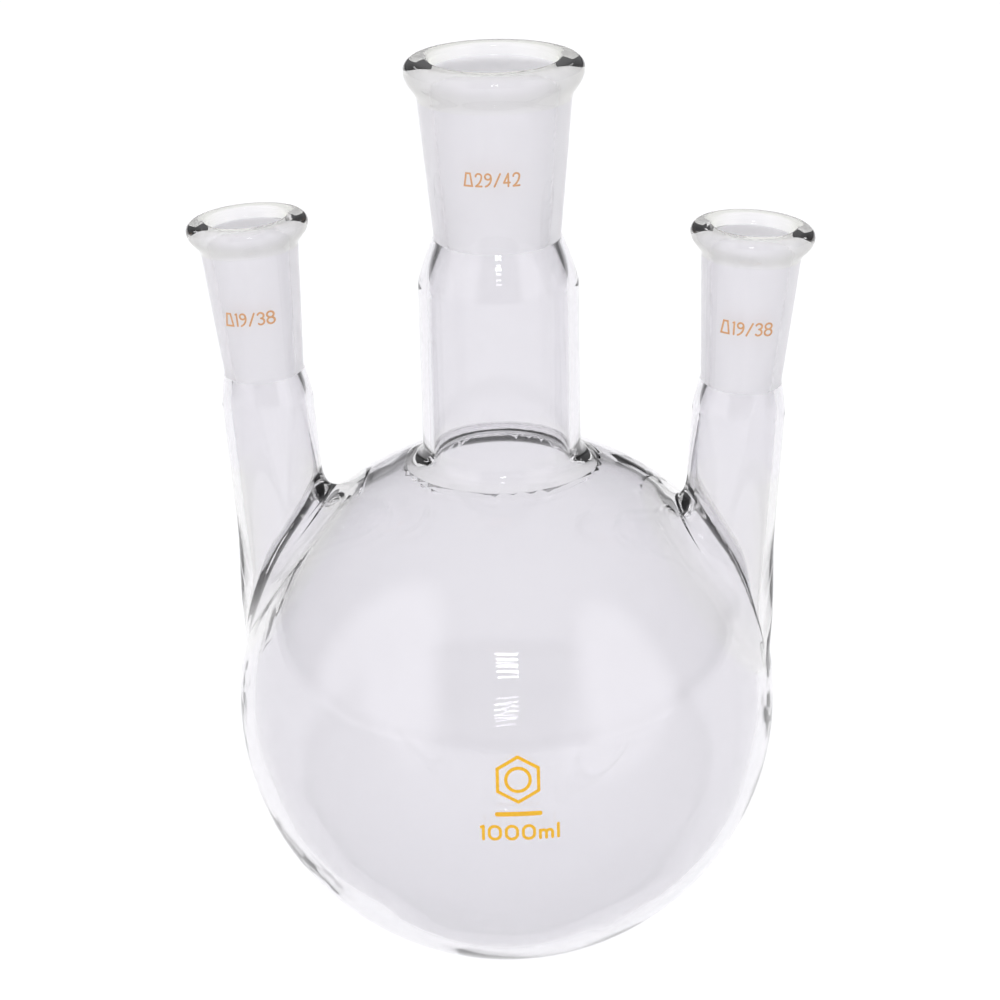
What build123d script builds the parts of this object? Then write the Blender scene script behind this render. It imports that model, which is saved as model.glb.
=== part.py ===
from build123d import *
import os
from dataclasses import dataclass
from math import acos, atan2, cos, pi, radians, sin, sqrt, tan

# A 1000 ml flask with a round bottom and three ground sockets, in millimetres.
# +Z is up and the origin is the lowest point of the bulb. The two side necks stand along
# -X and +X, and the printed marks face -Y.
# Along a neck, "up" is the distance on the neck's own axis from the level of the bulb's centre.

# the bulb and its seals with the necks
bulb_diameter = 131.0
bulb_wall = 3.7
seam_margin = 1.6           # plain glass between the end of a seal's fillet and the seam beside it
side_inset = 14.3           # how far inside the bulb's widest line the axes of the side necks start

# the shoulders and rims, all three alike
shoulder_bend = 0.78        # share of a shoulder's height that lies above its bend
flare_start = 0.3           # share of a rim's flare that still follows the socket
flare_end = 0.45            # share of it that runs into the rim upright

# the printed marks
enamel_thickness = 0.12
joint_mark_height = 3.4     # height of the figures on the three sockets
joint_mark_stroke = 0.42
capacity_mark_height = 4.1
capacity_mark_stroke = 0.7
mark_turn = 9.2             # how far the bulb's marks stand round from -Y towards +X, in degrees
capacity_latitude = -4.4    # places on the bulb above its widest level, in degrees
rule_latitude = -0.2
emblem_latitude = 7.1
rule_length = 10.8
rule_height = 1.1
emblem_height = 11.6
emblem_stroke = 0.75

# proportions of the printed signs, as shares of their height unless said otherwise
sign_gap = 1.9              # between two signs, in strokes
joint_figure_width = 0.39
joint_one_width = 0.4       # of a figure's width
taper_sign_width = 0.66
taper_sign_side = 98        # between its narrow end and its sides, in degrees
taper_sign_room = 0.45      # between the sign and the figures
capacity_zero_width = 0.62
capacity_one_width = 0.35   # of a zero's width
capacity_m_width = 1.1      # of a zero's width
emblem_ring = 0.27          # radius of the ring in the hexagon

bulb_radius = bulb_diameter / 2
cavity_radius = bulb_radius - bulb_wall


@dataclass
class Neck:
    """One neck: a collar sealed to the bulb, a tube, a ground socket and a rolled rim."""
    name: str
    bore: float                 # diameter at the wide end of the ground zone
    ground_length: float
    tube_length: float          # plain tube between the collar and the shoulder
    foot_wall: float            # wall of the socket at the shoulder
    mouth_wall: float           # wall of the socket just below the rim
    tube_diameter: float
    tube_wall: float
    shoulder_length: float
    rim_diameter: float
    rim_radius: float           # roundness of the rolled rim
    rim_flare: float            # height of the flare below the rim's widest level
    lip: float                  # polished height of the bore above the ground zone
    seal_radius: float          # outside fillet between the bulb and the neck
    mark: str
    mark_rise: float            # middle of the mark above the foot of the ground zone
    mark_turn: float            # round the neck from -Y towards +X, in degrees
    offset: float = 0.0         # from the bulb's axis at the level of the bulb's centre
    lean: float = 0.0           # outwards from upright, in degrees
    turn: float = 0.0           # round the bulb from +X, in degrees
    swell: float = 0.0          # how much wider the outside of the seal is than the tube
    swell_drop: float = 0.0     # where the swelling starts, below the top of the collar
    swell_length: float = 0.0   # how far it takes to reach its full width
    taper: float = 0.1          # change of bore diameter over length: one in ten
    shoulder_rise: float = 1.8  # the outside of the shoulder starts this far above the ground zone

    def __post_init__(self):
        self.tube_radius = self.tube_diameter / 2
        self.tube_bore_radius = self.tube_radius - self.tube_wall
        inner_up, inner_angle, inner_footprint = self.contact(-1)
        self.collar_top = inner_up + inner_footprint + seam_margin
        self.swell_top = self.collar_top - self.swell_drop
        self.swell_foot = self.swell_top - self.swell_length
        self.shoulder_foot = self.collar_top + self.tube_length
        self.shoulder_top = self.shoulder_foot + self.shoulder_length
        self.ground_foot = self.shoulder_top - self.shoulder_rise
        self.mark_up = self.ground_foot + self.mark_rise
        self.ground_top = self.ground_foot + self.ground_length
        self.rim_top = self.ground_top + self.lip
        self.rim_level = self.rim_top - self.rim_radius
        self.flare_foot = self.rim_level - self.rim_flare

    @property
    def place(self):
        """The neck's own frame: its local Z runs up the neck."""
        upright = Location((0, 0, bulb_radius), (0, 0, self.turn))
        return upright * Location((self.offset, 0, 0), (0, self.lean, 0))

    def bore_radius(self, up):
        return self.bore / 2 - self.taper * (self.ground_top - up) / 2

    def socket_radius(self, up):
        """Outside of the plain socket, a straight taper from shoulder to flare."""
        low = self.bore_radius(self.shoulder_top) + self.foot_wall
        high = self.bore_radius(self.flare_foot) + self.mouth_wall
        share = (up - self.shoulder_top) / (self.flare_foot - self.shoulder_top)
        return low + share * (high - low)

    def contact(self, side):
        """Where the outer (+1) or inner (-1) line of the neck meets the bulb.

        Returns how far up the line that is, the angle of the place above the bulb's widest
        level, and how far the seal's fillet reaches from it."""
        radius = self.tube_radius + (self.swell if side > 0 else 0)
        lean = radians(self.lean)
        level = self.offset * sin(lean)
        reach = bulb_radius ** 2 - self.offset ** 2 - radius ** 2
        up = sqrt(reach - 2 * side * self.offset * radius * cos(lean) + level ** 2) - level
        across = self.offset + up * sin(lean) + side * radius * cos(lean)
        height = up * cos(lean) - side * radius * sin(lean)
        angle = atan2(height, across)
        wedge = acos(cos(angle) * cos(lean) * side * -1 + sin(angle) * sin(lean) * side)
        return up, angle, self.seal_radius / tan(wedge / 2)


centre_neck = Neck(
    name="centre", bore=29.2, ground_length=42.0, tube_length=37.5, foot_wall=2.3,
    mouth_wall=3.7, tube_diameter=37.7, tube_wall=2.6, shoulder_length=12.5, rim_diameter=41.7,
    rim_radius=2.7, rim_flare=6.6, lip=1.3, seal_radius=4.0, mark="29/42", mark_rise=18.8,
    mark_turn=2.9)
side_sizes = dict(
    bore=18.8, ground_length=38.0, tube_length=14.9, foot_wall=1.9, mouth_wall=2.5,
    tube_diameter=21.9, tube_wall=1.9, shoulder_length=8.5, rim_diameter=28.8, rim_radius=2.2,
    rim_flare=5.2, lip=0.8, seal_radius=5.0, mark="19/38", mark_rise=16.8,
    offset=bulb_radius - side_inset, lean=3.9, swell=1.3, swell_drop=14.1, swell_length=24.0)
left_neck = Neck(name="left", turn=180.0, mark_turn=-1.0, **side_sizes)
right_neck = Neck(name="right", turn=0.0, mark_turn=0.8, **side_sizes)
necks = (centre_neck, left_neck, right_neck)


def at(radius, up):
    return Vector(radius, 0, up)


def turned(outline):
    """A solid of revolution about Z from a closed outline in the XZ plane."""
    return revolve(make_face(outline), Axis.Z)


def seam_plane(neck):
    """The cut between the bulb and a collar, clear of the seal's fillet all round."""
    outer_up, outer_angle, outer_footprint = neck.contact(1)
    inner_up, inner_angle, inner_footprint = neck.contact(-1)
    low = outer_angle - (outer_footprint + seam_margin) / bulb_radius
    high = inner_angle + (inner_footprint + seam_margin) / bulb_radius
    if neck.offset == 0:
        low = pi - high
    middle = (low + high) / 2
    distance = bulb_radius * cos((high - low) / 2)
    facing = Vector(cos(middle), 0, sin(middle)).rotate(Axis.Z, neck.turn)
    return Plane(Vector(0, 0, bulb_radius) + facing * distance, z_dir=facing)


def outer_foot(neck):
    """The outside of a neck, from within the bulb to the top of its collar."""
    top = neck.collar_top
    if neck.swell == 0:
        return turned([Polyline(at(0, 0), at(neck.tube_radius, 0), at(neck.tube_radius, top),
                                at(0, top), close=True)])
    wide = neck.tube_radius + neck.swell
    swelling = Spline(at(wide, neck.swell_foot), at(neck.tube_radius, neck.swell_top),
                      tangents=((0, 0, 1), (0, 0, 1)))
    sides = Polyline(at(neck.tube_radius, neck.swell_top), at(neck.tube_radius, top), at(0, top),
                     at(0, 0), at(wide, 0), at(wide, neck.swell_foot))
    return turned([swelling, sides])


def inner_foot(neck):
    """The hollow of a neck, from within the bulb to past the top of its collar."""
    return extrude(Circle(neck.tube_bore_radius), neck.collar_top + seam_margin)


def sealed(ball_radius, foot_shape, seal_radius):
    """A ball with the feet of the necks joined on and every joint line rounded."""
    body = Pos(0, 0, bulb_radius) * Sphere(ball_radius)
    for neck in necks:
        body = body + neck.place * foot_shape(neck)
    for neck in necks:
        ball_edges = body.faces().filter_by(GeomType.SPHERE).edges()
        other_edges = body.faces().filter_by(GeomType.SPHERE, reverse=True).edges()
        joint_line = [edge for edge in ball_edges
                      if edge in other_edges and nearest_neck(edge.center()) is neck]
        body = fillet(joint_line, seal_radius(neck))
    return body


def nearest_neck(point):
    """The neck whose axis passes nearest to a point on the ball."""
    def distance(neck):
        inside = neck.place.inverse() * Pos(point)
        return abs(inside.position.X)
    return min(necks, key=distance)


def bulb_and_collars():
    """The blown bulb and the collars that seal the necks to it, cut apart at their seams."""
    outside = sealed(bulb_radius, outer_foot, lambda neck: neck.seal_radius)
    hollow = sealed(cavity_radius, inner_foot, lambda neck: neck.seal_radius + neck.tube_wall)
    body = outside - hollow
    pieces = {}
    for neck in sorted(necks, key=lambda neck: -neck.offset):
        seam = seam_plane(neck)
        pieces[neck.name + "_neck_collar"] = split(body, bisect_by=seam, keep=Keep.TOP)
        body = split(body, bisect_by=seam, keep=Keep.BOTTOM)
    pieces["bulb"] = body
    return pieces


def neck_ring(neck):
    """All of a neck above its collar as one ring: tube, shoulder, socket and rim."""
    foot = neck.collar_top
    shoulder_height = neck.shoulder_length * shoulder_bend
    inner_height = (neck.ground_foot - neck.shoulder_foot) * shoulder_bend
    socket_foot = at(neck.socket_radius(neck.shoulder_top), neck.shoulder_top)
    socket_top = at(neck.socket_radius(neck.flare_foot), neck.flare_foot)
    rim_outer = neck.rim_diameter / 2
    mouth = neck.bore_radius(neck.ground_top)
    bore_foot = at(neck.bore_radius(neck.ground_foot), neck.ground_foot)
    bore_top = at(mouth, neck.ground_top)
    outer_bend = at(neck.tube_radius, neck.shoulder_top - shoulder_height)
    inner_bend = at(neck.tube_bore_radius, neck.ground_foot - inner_height)
    outer_tube = at(neck.tube_radius, neck.shoulder_foot)
    inner_tube = at(neck.tube_bore_radius, neck.shoulder_foot)
    rim_side = at(rim_outer, neck.rim_level)
    rim_crown = at(rim_outer - neck.rim_radius, neck.rim_top)
    socket = Line(socket_foot, socket_top)
    flare = Bezier(
        socket_top, socket_top + (socket % 1) * neck.rim_flare * flare_start,
        at(rim_outer, neck.rim_level - neck.rim_flare * flare_end), rim_side)
    crown_middle = at(rim_outer - neck.rim_radius * (1 - cos(pi / 4)),
                      neck.rim_level + neck.rim_radius * sin(pi / 4))
    return turned([
        Bezier(outer_tube, outer_bend, socket_foot),
        socket,
        flare,
        ThreePointArc(rim_side, crown_middle, rim_crown),
        Line(rim_crown, at(mouth + neck.lip, neck.rim_top)),
        Bezier(at(mouth + neck.lip, neck.rim_top), at(mouth, neck.rim_top), bore_top),
        Line(bore_top, bore_foot),
        Bezier(bore_foot, inner_bend, inner_tube),
        Polyline(inner_tube, at(neck.tube_bore_radius, foot), at(neck.tube_radius, foot),
                 outer_tube)])


def neck_pieces(neck):
    """The tube with its shoulder, the ground socket and the rolled rim of one neck."""
    ring = neck_ring(neck)
    lower_seam = Plane.XY.offset(neck.ground_foot)
    upper_seam = Plane.XY.offset(neck.flare_foot)
    above = split(ring, bisect_by=lower_seam, keep=Keep.TOP)
    pieces = {
        "_neck_tube": split(ring, bisect_by=lower_seam, keep=Keep.BOTTOM),
        "_joint_socket": split(above, bisect_by=upper_seam, keep=Keep.BOTTOM),
        "_rim_bead": split(above, bisect_by=upper_seam, keep=Keep.TOP)}
    return {neck.name + ending: neck.place * piece for ending, piece in pieces.items()}


def sign_lines(sign, wide, high):
    """The centre lines of one sign's strokes, from its lower left corner."""
    middle = wide / 2
    round_foot = middle
    round_top = high - middle
    x_height = high * 0.6
    arch = x_height - middle / 2
    if sign == "0":
        return [Line((0, round_foot), (0, round_top)), Line((wide, round_foot), (wide, round_top)),
                ThreePointArc((0, round_top), (middle, high), (wide, round_top)),
                ThreePointArc((0, round_foot), (middle, 0), (wide, round_foot))]
    if sign == "1":
        return [Line((wide, high), (wide, 0)), Line((wide, high), (middle, high - middle / 2))]
    if sign == "2":
        return [ThreePointArc((0, round_top), (middle, high), (wide, round_top)),
                ThreePointArc((wide, round_top), (wide * 0.85, high * 0.47), (0, 0)),
                Line((0, 0), (wide, 0))]
    if sign == "3":
        waist = high * 0.54
        return [ThreePointArc((0, high * 0.86), (wide, (high + waist) / 2), (middle, waist)),
                ThreePointArc((middle, waist), (wide, waist / 2), (0, high * 0.12))]
    if sign == "4":
        bar = high * 0.28
        return [Line((wide * 0.75, 0), (wide * 0.75, high)), Line((wide * 0.75, high), (0, bar)),
                Line((0, bar), (wide, bar))]
    if sign == "8":
        waist = high * 0.52
        return (round_ring(middle, (high + waist) / 2, (high - waist) / 2)
                + round_ring(middle, waist / 2, waist / 2))
    if sign == "9":
        return round_ring(middle, round_top, middle) + [
            ThreePointArc((wide, round_top), (wide * 0.85, high * 0.3), (wide * 0.1, 0))]
    if sign == "m":
        return [Line((0, 0), (0, x_height)), Line((middle, 0), (middle, arch)),
                Line((wide, 0), (wide, arch)),
                ThreePointArc((0, arch), (middle / 2, x_height), (middle, arch)),
                ThreePointArc((middle, arch), (middle * 1.5, x_height), (wide, arch))]
    return [Line((0, 0), (wide, high))]


def round_ring(across, up, radius):
    """A circle as two half turns."""
    left = (across - radius, up)
    right = (across + radius, up)
    return [ThreePointArc(left, (across, up + radius), right),
            ThreePointArc(left, (across, up - radius), right)]


def row_of_signs(signs, high, stroke):
    """Signs side by side, each given with its width, centred on the origin."""
    drawing = Sketch()
    across = 0
    for sign, wide in signs:
        for line in sign_lines(sign, wide, high - stroke):
            drawing = drawing + Pos(across, 0) * SlotArc(line, stroke)
        across += wide + stroke * sign_gap
    return Pos((stroke * sign_gap - across) / 2, (stroke - high) / 2) * drawing


def taper_sign(high, stroke):
    """A small outline of a taper, wide end up, standing for the kind of joint."""
    outline = Trapezoid(high * taper_sign_width, high, taper_sign_side, rotation=180)
    return outline - offset(outline, -stroke)


def outward_plane(turn, latitude, distance, level=0):
    """A plane across a direction given from -Y towards +X, and upwards, in degrees."""
    facing = Vector(sin(radians(turn)) * cos(radians(latitude)),
                    -cos(radians(turn)) * cos(radians(latitude)), sin(radians(latitude)))
    across = Vector(cos(radians(turn)), sin(radians(turn)), 0)
    return Plane(Vector(0, 0, level) + facing * distance, x_dir=across, z_dir=facing)


def socket_mark(neck):
    """The joint size, printed on the front of a socket."""
    figure_width = joint_mark_height * joint_figure_width
    signs = [(sign, figure_width * (joint_one_width if sign == "1" else 1)) for sign in neck.mark]
    figures = row_of_signs(signs, joint_mark_height, joint_mark_stroke)
    sign_room = joint_mark_height * taper_sign_room
    figures = Pos(sign_room, 0) * figures
    edge = figures.bounding_box().min.X
    drawing = figures + Pos(edge - sign_room, 0) * taper_sign(joint_mark_height, joint_mark_stroke)
    low = neck.mark_up - joint_mark_height
    high = neck.mark_up + joint_mark_height
    skin = turned([Polyline(
        at(neck.socket_radius(low), low), at(neck.socket_radius(low) + enamel_thickness, low),
        at(neck.socket_radius(high) + enamel_thickness, high), at(neck.socket_radius(high), high),
        close=True)])
    plane = outward_plane(neck.mark_turn - neck.turn, 0, neck.bore / 4, level=neck.mark_up)
    return neck.place * (extrude(plane * drawing, neck.bore, dir=plane.z_dir) & skin)


def bulb_mark(drawing, latitude):
    """A drawing printed on the front of the bulb."""
    skin = Sphere(bulb_radius + enamel_thickness) - Sphere(bulb_radius)
    plane = outward_plane(mark_turn, latitude, bulb_radius / 2)
    return Pos(0, 0, bulb_radius) * (extrude(plane * drawing, bulb_radius, dir=plane.z_dir) & skin)


def bulb_marks():
    """The capacity, a plain rule and a ring in a hexagon, one above another."""
    zero = capacity_mark_height * capacity_zero_width
    signs = [("1", zero * capacity_one_width), ("0", zero), ("0", zero), ("0", zero),
             ("m", zero * capacity_m_width), ("l", 0)]
    capacity = row_of_signs(signs, capacity_mark_height, capacity_mark_stroke)
    hexagon = RegularPolygon(emblem_height / 2, 6, rotation=30)
    ring_radius = emblem_height * emblem_ring
    emblem = (hexagon - offset(hexagon, -emblem_stroke)
              + Circle(ring_radius) - Circle(ring_radius - emblem_stroke))
    rule = SlotOverall(rule_length, rule_height)
    return {
        "capacity_mark": bulb_mark(capacity, capacity_latitude),
        "mark_rule": bulb_mark(rule, rule_latitude),
        "ring_emblem": bulb_mark(emblem, emblem_latitude)}


def main():
    pieces = bulb_and_collars()
    for neck in necks:
        pieces.update(neck_pieces(neck))
        pieces[neck.name + "_size_mark"] = socket_mark(neck)
    pieces.update(bulb_marks())
    os.makedirs("parts", exist_ok=True)
    for name, piece in pieces.items():
        export_step(piece, "parts/" + name + ".step")


main()
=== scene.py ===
import bpy, bmesh
from math import acos, atan2, cos, pi, radians, sin, sqrt
from mathutils import Matrix, Quaternion, Vector, noise


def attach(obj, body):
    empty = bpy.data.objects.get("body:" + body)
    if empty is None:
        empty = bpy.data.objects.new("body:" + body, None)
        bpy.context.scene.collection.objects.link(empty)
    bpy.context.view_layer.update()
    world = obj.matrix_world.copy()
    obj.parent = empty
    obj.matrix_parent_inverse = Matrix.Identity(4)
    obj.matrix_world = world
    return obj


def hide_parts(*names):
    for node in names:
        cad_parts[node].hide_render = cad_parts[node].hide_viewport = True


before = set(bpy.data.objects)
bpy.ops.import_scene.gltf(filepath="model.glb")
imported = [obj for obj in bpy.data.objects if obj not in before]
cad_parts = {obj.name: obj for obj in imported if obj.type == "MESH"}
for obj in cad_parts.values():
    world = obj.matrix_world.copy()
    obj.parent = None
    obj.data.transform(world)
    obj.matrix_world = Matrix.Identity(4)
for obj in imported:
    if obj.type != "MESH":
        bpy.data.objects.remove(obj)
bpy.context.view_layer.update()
mm = 0.001
seamSlot = 1         # material slot of the faces where two pieces meet
groundSlot = 2       # material slot of the ground zone
near = 0.01          # two places closer than this are the same place

# Sizes are in millimetres here and become metres when a mesh is placed.
# "up" is the distance along a neck's own axis from the level of the bulb's centre.

bulb = dict(
    radius=65.5,
    wall=3.7,
    waver=0.30,          # hand-blown unevenness of the inside
    waverSize=34.0,
    fineness=6,          # icosphere subdivisions
    holeReach=0.6,       # a hole's edges lie within this angle of its neck, in radians
)

centreNeck = dict(
    name="centre", offset=0.0, lean=0.0, turn=0.0,
    tubeRadius=18.85, tubeWall=2.6, collarTop=67.304, seamDistance=61.261, seamAngle=90.0,
    groundFoot=115.5, groundTop=157.5, boreTop=14.6, boreFoot=12.5,
    shoulderTop=117.3, shoulderFoot=104.8, footWall=2.3, mouthWall=3.7,
    flareFoot=149.5, rimLevel=156.1, rimTop=158.8, rimRadius=2.7, rimOuter=20.85, lip=1.3,
    swell=0.0, swellFoot=0.0, swellTop=0.0)

sideNeck = dict(
    offset=51.2, lean=3.9,
    tubeRadius=10.95, tubeWall=1.9, collarTop=60.086, seamDistance=59.431, seamAngle=33.79,
    groundFoot=81.686, groundTop=119.686, boreTop=9.4, boreFoot=7.5,
    shoulderTop=83.486, shoulderFoot=74.986, footWall=1.9, mouthWall=2.5,
    flareFoot=113.086, rimLevel=118.286, rimTop=120.486, rimRadius=2.2, rimOuter=14.4, lip=0.8,
    swell=1.3, swellFoot=22.0, swellTop=46.0)

leftNeck = dict(sideNeck, name="left", turn=180.0)
rightNeck = dict(sideNeck, name="right", turn=0.0)
allNecks = (centreNeck, leftNeck, rightNeck)


def neckMatrix(neck):
    # the neck's own frame: Z runs up the neck, X leans outwards
    place = Matrix.Translation((0, 0, bulb["radius"]))
    place = place @ Matrix.Rotation(radians(neck["turn"]), 4, "Z")
    place = place @ Matrix.Translation((neck["offset"], 0, 0))
    return place @ Matrix.Rotation(radians(neck["lean"]), 4, "Y")


def seamFacing(neck):
    angle = radians(neck["seamAngle"])
    facing = Vector((cos(angle), 0, sin(angle)))
    facing.rotate(Quaternion((0, 0, 1), radians(neck["turn"])))
    return facing


def bezier(points, count):
    # points on a Bezier curve, ends included
    result = []
    for step in range(count + 1):
        share = step / count
        row = [Vector(p) for p in points]
        while len(row) > 1:
            row = [a.lerp(b, share) for a, b in zip(row, row[1:])]
        result.append(row[0])
    return result


def addPiece(name, bm, nodes, materials, normals=None):
    for vert in bm.verts:
        vert.co *= mm
    mesh = bpy.data.meshes.new(name)
    bm.to_mesh(mesh)
    bm.free()
    for material in materials:
        mesh.materials.append(material)
    piece = bpy.data.objects.new(name, mesh)
    bpy.context.scene.collection.objects.link(piece)
    for polygon in mesh.polygons:
        polygon.use_smooth = True
    if normals:
        mesh.normals_split_custom_set(normals(mesh))
    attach(piece, "root")
    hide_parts(*nodes)
    return piece


def newMaterial(name):
    material = bpy.data.materials.new(name)
    material.use_nodes = True
    nodes = material.node_tree.nodes
    nodes.clear()
    return material, nodes, material.node_tree.links


def addNode(nodes, kind, **values):
    node = nodes.new(kind)
    for key, value in values.items():
        setattr(node, key, value)
    return node


def noiseRange(nodes, links, scale, low, high, detail=3.0, roughness=0.5):
    # a number that wanders between low and high over the surface
    coords = addNode(nodes, "ShaderNodeTexCoord")
    pattern = addNode(nodes, "ShaderNodeTexNoise")
    pattern.inputs["Scale"].default_value = scale
    pattern.inputs["Detail"].default_value = detail
    pattern.inputs["Roughness"].default_value = roughness
    spread = addNode(nodes, "ShaderNodeMapRange")
    spread.inputs["From Min"].default_value = 0.3
    spread.inputs["From Max"].default_value = 0.7
    spread.inputs["To Min"].default_value = low
    spread.inputs["To Max"].default_value = high
    links.new(coords.outputs["Object"], pattern.inputs["Vector"])
    links.new(pattern.outputs["Fac"], spread.inputs["Value"])
    return spread.outputs["Result"], pattern.outputs["Fac"]


glassIor = 1.474
glassLooks = {
    # tint where the glass is seen square on, edge where it is seen along its surface
    "clear": dict(tint=(0.864, 0.857, 0.876), edge=(0.72, 0.715, 0.735), blend=0.2,
                  transmission=1.0, rough=(0.0, 0.008), roughScale=60.0, bump=0.0),
    "seal": dict(tint=(0.864, 0.857, 0.876), edge=(0.80, 0.81, 0.75), blend=0.35,
                 transmission=1.0, rough=(0.0, 0.008), roughScale=60.0, bump=0.0),
    "rim": dict(tint=(0.885, 0.88, 0.89), edge=(0.84, 0.86, 0.70), blend=0.3,
                transmission=1.0, rough=(0.0, 0.008), roughScale=60.0, bump=0.0),
    "ground": dict(tint=(0.86, 0.853, 0.872), edge=(0.86, 0.853, 0.872), blend=0.5,
                   transmission=0.5, rough=(0.36, 0.5), roughScale=900.0, bump=0.12),
}


def glassMaterial(name, look):
    material, nodes, links = newMaterial(name)
    shader = addNode(nodes, "ShaderNodeBsdfPrincipled")
    shader.inputs["IOR"].default_value = glassIor
    shader.inputs["Transmission Weight"].default_value = look["transmission"]
    slant = addNode(nodes, "ShaderNodeLayerWeight")
    slant.inputs["Blend"].default_value = look["blend"]
    colours = addNode(nodes, "ShaderNodeMix", data_type="RGBA")
    colours.inputs["A"].default_value = (*look["tint"], 1)
    colours.inputs["B"].default_value = (*look["edge"], 1)
    links.new(slant.outputs["Facing"], colours.inputs["Factor"])
    links.new(colours.outputs["Result"], shader.inputs["Base Color"])
    rough, pattern = noiseRange(nodes, links, look["roughScale"], *look["rough"])
    links.new(rough, shader.inputs["Roughness"])
    if look["bump"]:
        bump = addNode(nodes, "ShaderNodeBump")
        bump.inputs["Strength"].default_value = look["bump"]
        bump.inputs["Distance"].default_value = 0.0002
        links.new(pattern, bump.inputs["Height"])
        links.new(bump.outputs["Normal"], shader.inputs["Normal"])
    # lamps shine through the glass instead of leaving a hard black shadow
    rays = addNode(nodes, "ShaderNodeLightPath")
    either = addNode(nodes, "ShaderNodeMath", operation="MAXIMUM")
    through = addNode(nodes, "ShaderNodeBsdfTransparent")
    through.inputs["Color"].default_value = (0.985, 0.985, 0.987, 1)
    mix = addNode(nodes, "ShaderNodeMixShader")
    links.new(rays.outputs["Is Shadow Ray"], either.inputs[0])
    links.new(rays.outputs["Is Diffuse Ray"], either.inputs[1])
    links.new(either.outputs["Value"], mix.inputs["Fac"])
    links.new(shader.outputs["BSDF"], mix.inputs[1])
    links.new(through.outputs["BSDF"], mix.inputs[2])
    output = addNode(nodes, "ShaderNodeOutputMaterial")
    links.new(mix.outputs["Shader"], output.inputs["Surface"])
    return material


def seamMaterial(name):
    # where two pieces of one glass wall meet nothing is to be seen
    material, nodes, links = newMaterial(name)
    shader = addNode(nodes, "ShaderNodeBsdfTransparent")
    output = addNode(nodes, "ShaderNodeOutputMaterial")
    links.new(shader.outputs["BSDF"], output.inputs["Surface"])
    return material


clearGlass = glassMaterial("clearGlass", glassLooks["clear"])
sealGlass = glassMaterial("sealGlass", glassLooks["seal"])
rimGlass = glassMaterial("rimGlass", glassLooks["rim"])
groundGlass = glassMaterial("groundGlass", glassLooks["ground"])
glassSeam = seamMaterial("glassSeam")


enamelLooks = {
    "gold": dict(pale=(0.84, 0.47, 0.012), deep=(0.76, 0.40, 0.008), rough=(0.3, 0.5)),
    "tan": dict(pale=(0.66, 0.36, 0.16), deep=(0.58, 0.30, 0.13), rough=(0.4, 0.6)),
}


def enamelMaterial(name, look):
    material, nodes, links = newMaterial(name)
    shader = addNode(nodes, "ShaderNodeBsdfPrincipled")
    rough, pattern = noiseRange(nodes, links, 1400.0, *look["rough"])
    ramp = addNode(nodes, "ShaderNodeValToRGB")
    ramp.color_ramp.elements[0].position = 0.35
    ramp.color_ramp.elements[0].color = (*look["deep"], 1)
    ramp.color_ramp.elements[1].position = 0.6
    ramp.color_ramp.elements[1].color = (*look["pale"], 1)
    links.new(pattern, ramp.inputs["Fac"])
    links.new(ramp.outputs["Color"], shader.inputs["Base Color"])
    links.new(rough, shader.inputs["Roughness"])
    output = addNode(nodes, "ShaderNodeOutputMaterial")
    links.new(shader.outputs["BSDF"], output.inputs["Surface"])
    return material


goldEnamel = enamelMaterial("goldEnamel", enamelLooks["gold"])
tanEnamel = enamelMaterial("tanEnamel", enamelLooks["tan"])
print("materials ready")


# the surface of the bulb and its seals, as one smooth field
centre = Vector((0, 0, bulb["radius"]))
sealBlend = {"centre": (3.0, 3.0), "side": (8.0, 0.55)}      # outside, inner and outer side
boreBlend = {"centre": (5.0, 5.0), "side": (10.5, 0.9)}      # the same inside
for neck in allNecks:
    neck["matrix"] = neckMatrix(neck)
    neck["inverse"] = neck["matrix"].inverted()
    neck["facing"] = seamFacing(neck)
    kind = "side" if neck["offset"] else "centre"
    neck["blend"] = {True: sealBlend[kind], False: boreBlend[kind]}


def easeIn(share):
    share = min(1, max(0, share))
    return share * share * (3 - 2 * share)


def waver(point):
    # slow unevenness of the inside of the bulb, as blowing leaves it
    place = point / bulb["waverSize"]
    return bulb["waver"] * (noise.noise(place) + 0.5 * noise.noise(place * 2.3 + Vector((7, 3, 1))))


def neckRadius(neck, up, outside):
    if not outside:
        return neck["tubeRadius"] - neck["tubeWall"]
    if not neck["swell"]:
        return neck["tubeRadius"]
    share = (neck["swellTop"] - up) / (neck["swellTop"] - neck["swellFoot"])
    return neck["tubeRadius"] + neck["swell"] * easeIn(share)


def neckPoint(neck, turn, up, outside):
    across = neckRadius(neck, up, outside)
    return neck["matrix"] @ Vector((across * cos(turn), across * sin(turn), up))


def field(point, outside):
    # below zero inside the rounded shape, above zero outside it
    ball = (point - centre).length - bulb["radius"]
    if not outside:
        ball += bulb["wall"] + waver(point)
    value = ball
    for neck in allNecks:
        local = neck["inverse"] @ point
        across = sqrt(local.x ** 2 + local.y ** 2)
        low = min(local.z, 0)
        tube = sqrt(across ** 2 + low ** 2) - neckRadius(neck, local.z, outside)
        inner, outer = neck["blend"][outside]
        side = local.x / across if across > 1e-6 else 0
        width = inner + (outer - inner) * (0.5 + 0.5 * side) ** 2
        overlap = max(width - abs(value - tube), 0) / width
        value = min(value, tube) - overlap * overlap * width / 4
    return value


def slope(point, outside):
    step = 0.02
    return Vector([
        (field(point + way * step, outside) - field(point - way * step, outside)) / (2 * step)
        for way in (Vector((1, 0, 0)), Vector((0, 1, 0)), Vector((0, 0, 1)))])


def settle(point, outside):
    # moves a point to the nearest place on the surface
    for _ in range(4):
        steep = slope(point, outside)
        point = point - steep * (field(point, outside) / max(steep.length_squared, 0.05))
    return point


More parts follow.
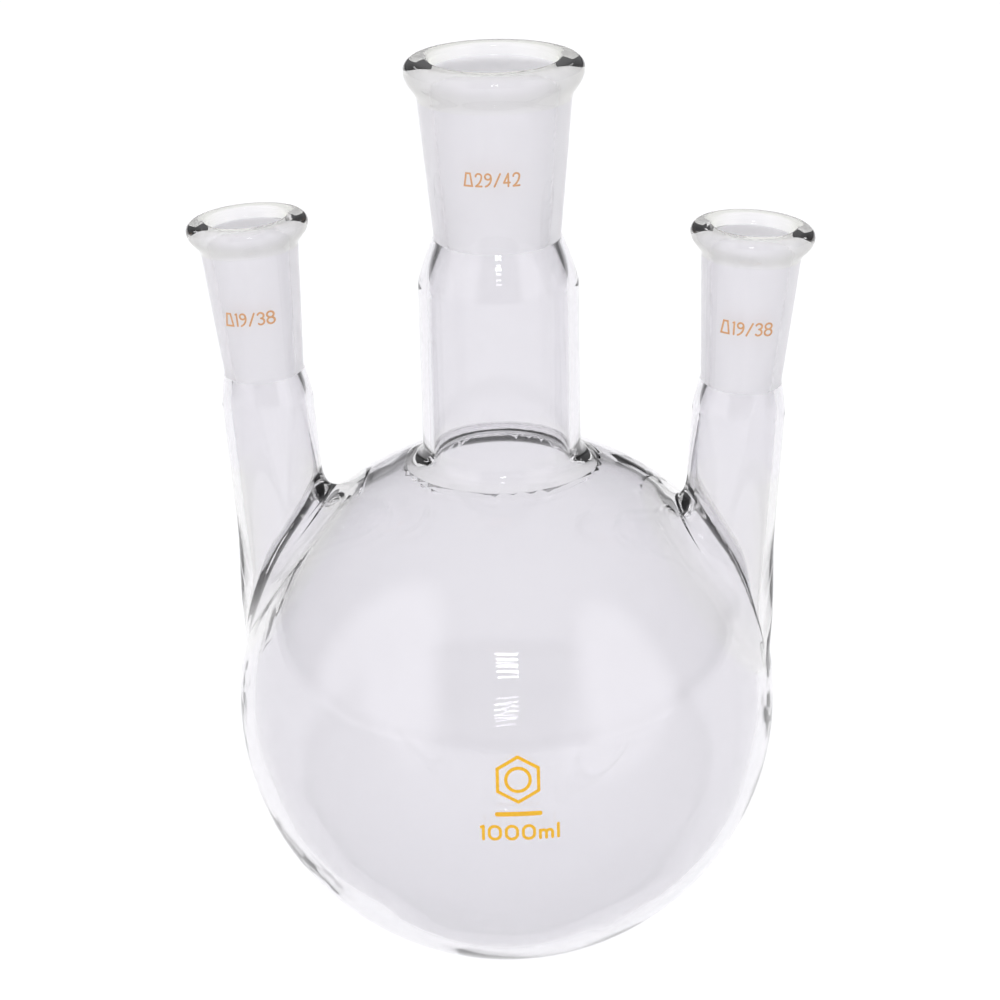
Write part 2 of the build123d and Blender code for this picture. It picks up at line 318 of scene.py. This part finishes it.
def customNormals(mesh):
    # the true slope on the glass, the face's own on the seams
    flow = mesh.attributes["flow"].data
    result = [None] * len(mesh.loops)
    for polygon in mesh.polygons:
        for index in polygon.loop_indices:
            if polygon.material_index == seamSlot:
                result[index] = polygon.normal
            else:
                result[index] = flow[mesh.loops[index].vertex_index].vector
    return result


def storeFlow(bm, outsideOf):
    flow = bm.verts.layers.float_vector["flow"]
    for vert in bm.verts:
        outside = outsideOf(vert)
        steep = slope(vert.co, outside).normalized()
        vert[flow] = steep if outside else -steep


def makeBulb():
    bm = bmesh.new()
    bm.verts.layers.float_vector.new("flow")
    bmesh.ops.create_icosphere(bm, subdivisions=bulb["fineness"], radius=bulb["radius"])
    for neck in allNecks:
        facing = neck["facing"]
        distance = neck["seamDistance"]
        bmesh.ops.bisect_plane(
            bm, geom=bm.verts[:] + bm.edges[:] + bm.faces[:], plane_co=facing * distance,
            plane_no=facing, clear_outer=True)
        ring = sqrt(bulb["radius"] ** 2 - distance ** 2)
        for vert in bm.verts:
            if vert.is_boundary and abs(vert.co.dot(facing) - distance) < near:
                flat = vert.co - facing * vert.co.dot(facing)
                vert.co = facing * distance + flat.normalized() * ring
    copied = bmesh.ops.duplicate(bm, geom=bm.verts[:] + bm.edges[:] + bm.faces[:])
    innerFaces = [item for item in copied["geom"] if isinstance(item, bmesh.types.BMFace)]
    innerVerts = [item for item in copied["geom"] if isinstance(item, bmesh.types.BMVert)]
    for vert in innerVerts:
        vert.co = vert.co.normalized() * (bulb["radius"] - bulb["wall"])
    bmesh.ops.reverse_faces(bm, faces=innerFaces)
    bmesh.ops.translate(bm, verts=bm.verts, vec=centre)
    for vert in innerVerts:
        way = (vert.co - centre).normalized()
        for _ in range(3):
            vert.co = centre + way * (bulb["radius"] - bulb["wall"] - waver(vert.co))
    loops = [edge for edge in bm.edges if edge.is_boundary]
    for neck in allNecks:
        around = [edge for edge in loops
                  if (edge.verts[0].co - centre).normalized().angle(neck["facing"])
                  < bulb["holeReach"]]
        made = bmesh.ops.bridge_loops(bm, edges=around)
        for face in made["faces"]:
            face.material_index = seamSlot
    inner = set(innerVerts)
    storeFlow(bm, lambda vert: vert not in inner)
    return addPiece("glassBulb", bm, ["bulb"], [clearGlass, glassSeam],
                    customNormals)


# the collars between bulb and necks
collarMesh = dict(
    around=96, along=26,
    crowding=1.6,        # above 1 the rows crowd towards the contact line
    halvings=40,         # steps of the search for the contact line
)


def contactUp(neck, turn, outside):
    # how far up a line of the neck meets the ball
    radius = bulb["radius"] if outside else bulb["radius"] - bulb["wall"]
    low, high = 0.0, neck["collarTop"]
    for _ in range(collarMesh["halvings"]):
        up = (low + high) / 2
        if (neckPoint(neck, turn, up, outside) - centre).length < radius:
            low = up
        else:
            high = up
    return up


def collarPoint(neck, turn, share, outside, wayOut):
    # share 0 is the tube's foot, 1 the contact line, 2 the seam in the bulb
    up = contactUp(neck, turn, outside)
    contact = neckPoint(neck, turn, up, outside)
    crowding = collarMesh["crowding"]
    if share <= 1:
        drop = (up - neck["collarTop"]) * (1 - (1 - share) ** crowding)
        return neckPoint(neck, turn, neck["collarTop"] + drop, outside)
    start = (contact - centre).normalized()
    way = start.slerp(wayOut, (share - 1) ** crowding)
    radius = bulb["radius"]
    if not outside:
        radius -= bulb["wall"] + waver(contact)
    return centre + way * radius


def seamWay(neck, turn):
    # the direction in which a line of the neck reaches the seam in the bulb
    contact = neckPoint(neck, turn, contactUp(neck, turn, True), True) - centre
    facing = neck["facing"]
    flat = (contact - facing * contact.dot(facing)).normalized()
    half = acos(neck["seamDistance"] / bulb["radius"])
    return facing * cos(half) + flat * sin(half)


def makeCollar(neck):
    steps = collarMesh["along"]
    count = collarMesh["around"]
    bm = bmesh.new()
    bm.verts.layers.float_vector.new("flow")
    # a closed band, spun about Z: the height of each point tells its place along the band
    total = 2 * (2 * steps + 1)
    loop = [bm.verts.new((3 + cos(2 * pi * row / total), 0, row)) for row in range(total)]
    edges = [bm.edges.new((a, b)) for a, b in zip(loop, loop[1:] + loop[:1])]
    bmesh.ops.spin(bm, geom=loop + edges, axis=(0, 0, 1), cent=(0, 0, 0), angle=2 * pi,
                   steps=count, use_merge=True)
    bm.verts.ensure_lookup_table()
    ways = {}
    outsideVerts = set()
    rows = {}
    for vert in bm.verts:
        row = round(vert.co.z)
        turn = round(atan2(vert.co.y, vert.co.x) / (2 * pi) * count) % count * 2 * pi / count
        rows[vert] = (row, turn)
        if turn not in ways:
            ways[turn] = seamWay(neck, turn)
    for vert, (row, turn) in rows.items():
        outside = row <= 2 * steps
        share = row / steps if outside else (total - 1 - row) / steps
        point = collarPoint(neck, turn, share, outside, ways[turn])
        if 0 < share < 2:
            point = settle(point, outside)
        elif share == 2 and not outside:
            way = ways[turn]
            for _ in range(3):
                point = centre + way * (bulb["radius"] - bulb["wall"] - waver(point))
        vert.co = point
        if outside:
            outsideVerts.add(vert)
    for face in bm.faces:
        kinds = {vert in outsideVerts for vert in face.verts}
        face.material_index = seamSlot if len(kinds) == 2 else 0
    bmesh.ops.recalc_face_normals(bm, faces=bm.faces)
    if bm.calc_volume(signed=True) < 0:
        bmesh.ops.reverse_faces(bm, faces=bm.faces)
    storeFlow(bm, lambda vert: vert in outsideVerts)
    name = neck["name"]
    return addPiece(name + "CollarGlass", bm, [name + "_neck_collar"],
                    [sealGlass, glassSeam], customNormals)


# tube, socket and rim of a neck
ringMesh = dict(
    around=128, curve=18, crown=10, mouth=8,
    bend=0.78,                       # how far down a shoulder its curve is steered
    flareFoot=0.3, flareTop=0.45,    # the same at both ends of a rim's flare
    weld=0.0005,
    boreSlack=0.15,                  # a face this close to the bore belongs to it
    cutSlack=0.05,                   # keeps a curve's points clear of a seam
)
frost = dict(below=2.8)          # the ground zone shows from this far below the rim


def boreRadius(neck, up):
    share = (up - neck["groundFoot"]) / (neck["groundTop"] - neck["groundFoot"])
    return neck["boreFoot"] + share * (neck["boreTop"] - neck["boreFoot"])


def socketRadius(neck, up):
    low = boreRadius(neck, neck["shoulderTop"]) + neck["footWall"]
    high = boreRadius(neck, neck["flareFoot"]) + neck["mouthWall"]
    share = (up - neck["shoulderTop"]) / (neck["flareFoot"] - neck["shoulderTop"])
    return low + share * (high - low)


def spunRing(outline):
    bm = bmesh.new()
    loop = [bm.verts.new((point[0], 0, point[1])) for point in outline]
    edges = [bm.edges.new((a, b)) for a, b in zip(loop, loop[1:] + loop[:1])]
    bmesh.ops.spin(bm, geom=loop + edges, axis=(0, 0, 1), cent=(0, 0, 0), angle=2 * pi,
                   steps=ringMesh["around"], use_merge=True)
    bmesh.ops.remove_doubles(bm, verts=bm.verts, dist=ringMesh["weld"])
    bmesh.ops.recalc_face_normals(bm, faces=bm.faces)
    return bm


def paintRing(bm, neck, seams):
    # seams get the seam finish and hard edges, the ground zone of the bore its own finish
    frostTop = neck["rimTop"] - frost["below"]
    for face in bm.faces:
        heights = [vert.co.z for vert in face.verts]
        for seam in seams:
            if all(abs(height - seam) < near for height in heights):
                face.material_index = seamSlot
                for edge in face.edges:
                    if any(abs(vert.co.z - seam) > near for other in edge.link_faces
                           for vert in other.verts):
                        edge.smooth = False
        middle = face.calc_center_median()
        across = sqrt(middle.x ** 2 + middle.y ** 2)
        inside = across < boreRadius(neck, middle.z) + ringMesh["boreSlack"]
        if face.material_index == 0 and inside and neck["groundFoot"] < middle.z < frostTop:
            face.material_index = groundSlot


def makeRing(neck, ending, outline, seams, materials):
    bm = spunRing(outline)
    paintRing(bm, neck, seams)
    bmesh.ops.transform(bm, matrix=neck["matrix"], verts=bm.verts)
    name = neck["name"]
    return addPiece(name + ending[0], bm, [name + ending[1]], materials)


def bends(neck):
    # the curves of a neck, each from its lower to its upper end
    curve = ringMesh["curve"]
    outerDrop = (neck["shoulderTop"] - neck["shoulderFoot"]) * ringMesh["bend"]
    innerDrop = (neck["groundFoot"] - neck["shoulderFoot"]) * ringMesh["bend"]
    innerTube = neck["tubeRadius"] - neck["tubeWall"]
    shoulder = bezier([
        (neck["tubeRadius"], neck["shoulderFoot"]),
        (neck["tubeRadius"], neck["shoulderTop"] - outerDrop),
        (socketRadius(neck, neck["shoulderTop"]), neck["shoulderTop"])], curve)
    relief = bezier([
        (innerTube, neck["shoulderFoot"]), (innerTube, neck["groundFoot"] - innerDrop),
        (neck["boreFoot"], neck["groundFoot"])], curve)
    return shoulder, relief


def makeTube(neck):
    shoulder, relief = bends(neck)
    foot, top = neck["collarTop"], neck["groundFoot"]
    innerTube = neck["tubeRadius"] - neck["tubeWall"]
    slack = ringMesh["cutSlack"]
    lower = [point for point in shoulder if point[1] < top - slack]
    above = [point for point in shoulder if point[1] >= top - slack][0]
    share = (top - lower[-1][1]) / (above[1] - lower[-1][1])
    cut = (lower[-1][0] + (above[0] - lower[-1][0]) * share, top)
    outline = [(neck["tubeRadius"], foot)] + lower + [cut] + relief[::-1] + [(innerTube, foot)]
    return makeRing(neck, ("TubeGlass", "_neck_tube"), outline, (foot, top),
                    [clearGlass, glassSeam, groundGlass])


def makeSocket(neck):
    shoulder = bends(neck)[0]
    foot, top = neck["groundFoot"], neck["flareFoot"]
    slack = ringMesh["cutSlack"]
    below = [point for point in shoulder if point[1] < foot - slack][-1]
    upper = [point for point in shoulder if point[1] > foot + slack]
    share = (foot - below[1]) / (upper[0][1] - below[1])
    cut = (below[0] + (upper[0][0] - below[0]) * share, foot)
    outline = [cut] + upper + [(socketRadius(neck, top), top), (boreRadius(neck, top), top),
                               (neck["boreFoot"], foot)]
    return makeRing(neck, ("SocketGlass", "_joint_socket"), outline, (foot, top),
                    [clearGlass, glassSeam, groundGlass])


def makeRim(neck):
    foot = neck["flareFoot"]
    start = Vector((socketRadius(neck, foot), foot))
    along = (start - Vector((socketRadius(neck, foot - 1), foot - 1))).normalized()
    height = neck["rimLevel"] - foot
    side = Vector((neck["rimOuter"], neck["rimLevel"]))
    flare = bezier([start, start + along * height * ringMesh["flareFoot"],
                    side - Vector((0, height * ringMesh["flareTop"])), side], ringMesh["curve"])
    middle = side - Vector((neck["rimRadius"], 0))
    crown = [middle + Vector((cos(angle), sin(angle))) * neck["rimRadius"]
             for angle in [pi / 2 * step / ringMesh["crown"]
                           for step in range(1, ringMesh["crown"] + 1)]]
    mouth = boreRadius(neck, neck["groundTop"])
    edge = bezier([(mouth + neck["lip"], neck["rimTop"]), (mouth, neck["rimTop"]),
                   (mouth, neck["groundTop"])], ringMesh["mouth"])
    frostTop = neck["rimTop"] - frost["below"]
    outline = flare + crown + edge + [(boreRadius(neck, frostTop), frostTop),
                                      (boreRadius(neck, foot), foot)]
    return makeRing(neck, ("RimGlass", "_rim_bead"), [tuple(point) for point in outline], (foot,),
                    [rimGlass, glassSeam, groundGlass])


makeBulb()
print("bulb ready")
for neck in allNecks:
    makeCollar(neck)
    makeTube(neck)
    makeSocket(neck)
    makeRim(neck)
    print(neck["name"], "neck ready")


# printed marks, as the solids made them
marks = dict(tan=("centre_size_mark", "left_size_mark", "right_size_mark"),
             gold=("capacity_mark", "mark_rule", "ring_emblem"))
for finish, material in (("tan", tanEnamel), ("gold", goldEnamel)):
    for nodeName in marks[finish]:
        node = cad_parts[nodeName]
        for place in node.material_slots:
            place.material = material
print("marks ready")


studio = dict(
    floorColour=(0.88, 0.88, 0.885), floorSize=8.0,
    # brightness of the dome by height, from the horizon up to overhead
    dome=((0.0, 0.48), (0.03, 0.16), (0.07, 0.16), (0.11, 0.38), (0.4, 0.42), (0.95, 0.85)),
    domeTint=(1.0, 0.995, 1.02),
    overhead=1.36, overheadSpread=60,
)
# two tall soft panels beside the flask, as lobes of the dome
panels = (
    dict(azimuth=-54, reach=0.88, edge=0.07, glow=1.05),
    dict(azimuth=63, reach=0.94, edge=0.045, glow=1.1),
)
panelShape = dict(elevation=4, flatten=0.4, tint=(1, 0.985, 1.0))
# a small ribbed lamp in front: five bright bars, one above another
ribs = dict(azimuth=8, elevation=35, distance=0.9, width=0.13, height=0.013, step=0.036,
            count=5, power=0.10)


def aimed(azimuth, elevation, distance):
    turn, rise = radians(azimuth), radians(elevation)
    way = Vector((sin(turn) * cos(rise), -cos(turn) * cos(rise), sin(rise)))
    return centre * mm + way * distance


def addRibs():
    middle = aimed(ribs["azimuth"], ribs["elevation"], ribs["distance"])
    turn = (centre * mm - middle).to_track_quat("-Z", "Y")
    for number in range(ribs["count"]):
        data = bpy.data.lights.new("rib", "AREA")
        data.shape = "RECTANGLE"
        data.size = ribs["width"]
        data.size_y = ribs["height"]
        data.energy = ribs["power"]
        rib = bpy.data.objects.new("rib", data)
        shift = Vector((0, (number - (ribs["count"] - 1) / 2) * ribs["step"], 0))
        rib.location = middle + turn @ shift
        rib.rotation_euler = turn.to_euler()
        bpy.context.scene.collection.objects.link(rib)


def makeSky():
    # a soft dome, brightest overhead and dim towards the horizon
    world = bpy.data.worlds.new("studio")
    world.use_nodes = True
    nodes, links = world.node_tree.nodes, world.node_tree.links
    background = nodes["Background"]
    coords = addNode(nodes, "ShaderNodeTexCoord")
    split = addNode(nodes, "ShaderNodeSeparateXYZ")
    ramp = addNode(nodes, "ShaderNodeValToRGB")
    stops = ramp.color_ramp.elements
    while len(stops) < len(studio["dome"]):
        stops.new(0.5)
    for stop, (height, brightness) in zip(stops, studio["dome"]):
        stop.position = height
        stop.color = (*[brightness * part for part in studio["domeTint"]], 1)
    flat = addNode(nodes, "ShaderNodeVectorMath", operation="MULTIPLY")
    flat.inputs[1].default_value = (1, 1, panelShape["flatten"])
    level = addNode(nodes, "ShaderNodeVectorMath", operation="NORMALIZE")
    links.new(coords.outputs["Generated"], flat.inputs[0])
    links.new(flat.outputs["Vector"], level.inputs[0])
    links.new(coords.outputs["Generated"], split.inputs["Vector"])
    links.new(split.outputs["Z"], ramp.inputs["Fac"])
    colour = ramp.outputs["Color"]
    for panel in panels:
        towards = aimed(panel["azimuth"], panelShape["elevation"], 1) - centre * mm
        closeness = addNode(nodes, "ShaderNodeVectorMath", operation="DOT_PRODUCT")
        closeness.inputs[1].default_value = towards
        lobe = addNode(nodes, "ShaderNodeMapRange", interpolation_type="SMOOTHSTEP")
        lobe.inputs["From Min"].default_value = panel["reach"] - panel["edge"]
        lobe.inputs["From Max"].default_value = panel["reach"] + panel["edge"]
        lobe.inputs["To Max"].default_value = panel["glow"]
        added = addNode(nodes, "ShaderNodeMix", data_type="RGBA", blend_type="ADD")
        added.inputs["B"].default_value = (*panelShape["tint"], 1)
        links.new(level.outputs["Vector"], closeness.inputs[0])
        links.new(closeness.outputs["Value"], lobe.inputs["Value"])
        links.new(lobe.outputs["Result"], added.inputs["Factor"])
        links.new(colour, added.inputs["A"])
        colour = added.outputs["Result"]
    links.new(colour, background.inputs["Color"])
    bpy.context.scene.world = world


def makeStudio():
    bm = bmesh.new()
    bmesh.ops.create_grid(bm, x_segments=8, y_segments=8, size=studio["floorSize"] / 2)
    mesh = bpy.data.meshes.new("floor")
    bm.to_mesh(mesh)
    bm.free()
    floor = bpy.data.objects.new("floor", mesh)
    bpy.context.scene.collection.objects.link(floor)
    material, nodes, links = newMaterial("paleFloor")
    shader = addNode(nodes, "ShaderNodeBsdfPrincipled")
    shader.inputs["Base Color"].default_value = (*studio["floorColour"], 1)
    shader.inputs["Roughness"].default_value = 0.7
    shader.inputs["Specular IOR Level"].default_value = 0.1
    output = addNode(nodes, "ShaderNodeOutputMaterial")
    links.new(shader.outputs["BSDF"], output.inputs["Surface"])
    mesh.materials.append(material)
    makeSky()
    addRibs()
    overhead = bpy.data.lights.new("overhead", "SUN")
    overhead.energy = studio["overhead"]
    overhead.angle = radians(studio["overheadSpread"])
    overheadObject = bpy.data.objects.new("overhead", overhead)
    overheadObject.visible_glossy = False
    overheadObject.visible_transmission = False
    bpy.context.scene.collection.objects.link(overheadObject)


makeStudio()
scene = bpy.context.scene
scene.view_settings.view_transform = "Standard"
scene.cycles.max_bounces = 40
scene.cycles.transmission_bounces = 40
scene.cycles.glossy_bounces = 24
scene.cycles.transparent_max_bounces = 80


cameraPlace = dict(azimuth=7.391, elevation=24.941, distance=0.7415,
                   aimDown=21.297, aimLeft=7.452, roll=1.228, lens=108.0, sensor=36.0)


def makeCamera():
    data = bpy.data.cameras.new("camera")
    data.lens = cameraPlace["lens"]
    data.sensor_width = cameraPlace["sensor"]
    camera = bpy.data.objects.new("camera", data)
    camera.location = aimed(cameraPlace["azimuth"], cameraPlace["elevation"],
                            cameraPlace["distance"])
    turn = Matrix.Rotation(radians(cameraPlace["aimLeft"]), 4, "Z")
    tilt = Matrix.Rotation(radians(90 - cameraPlace["aimDown"]), 4, "X")
    roll = Matrix.Rotation(radians(-cameraPlace["roll"]), 4, "Z")
    camera.rotation_euler = (turn @ tilt @ roll).to_euler()
    bpy.context.scene.collection.objects.link(camera)
    bpy.context.scene.camera = camera


makeCamera()
print("studio and camera ready")
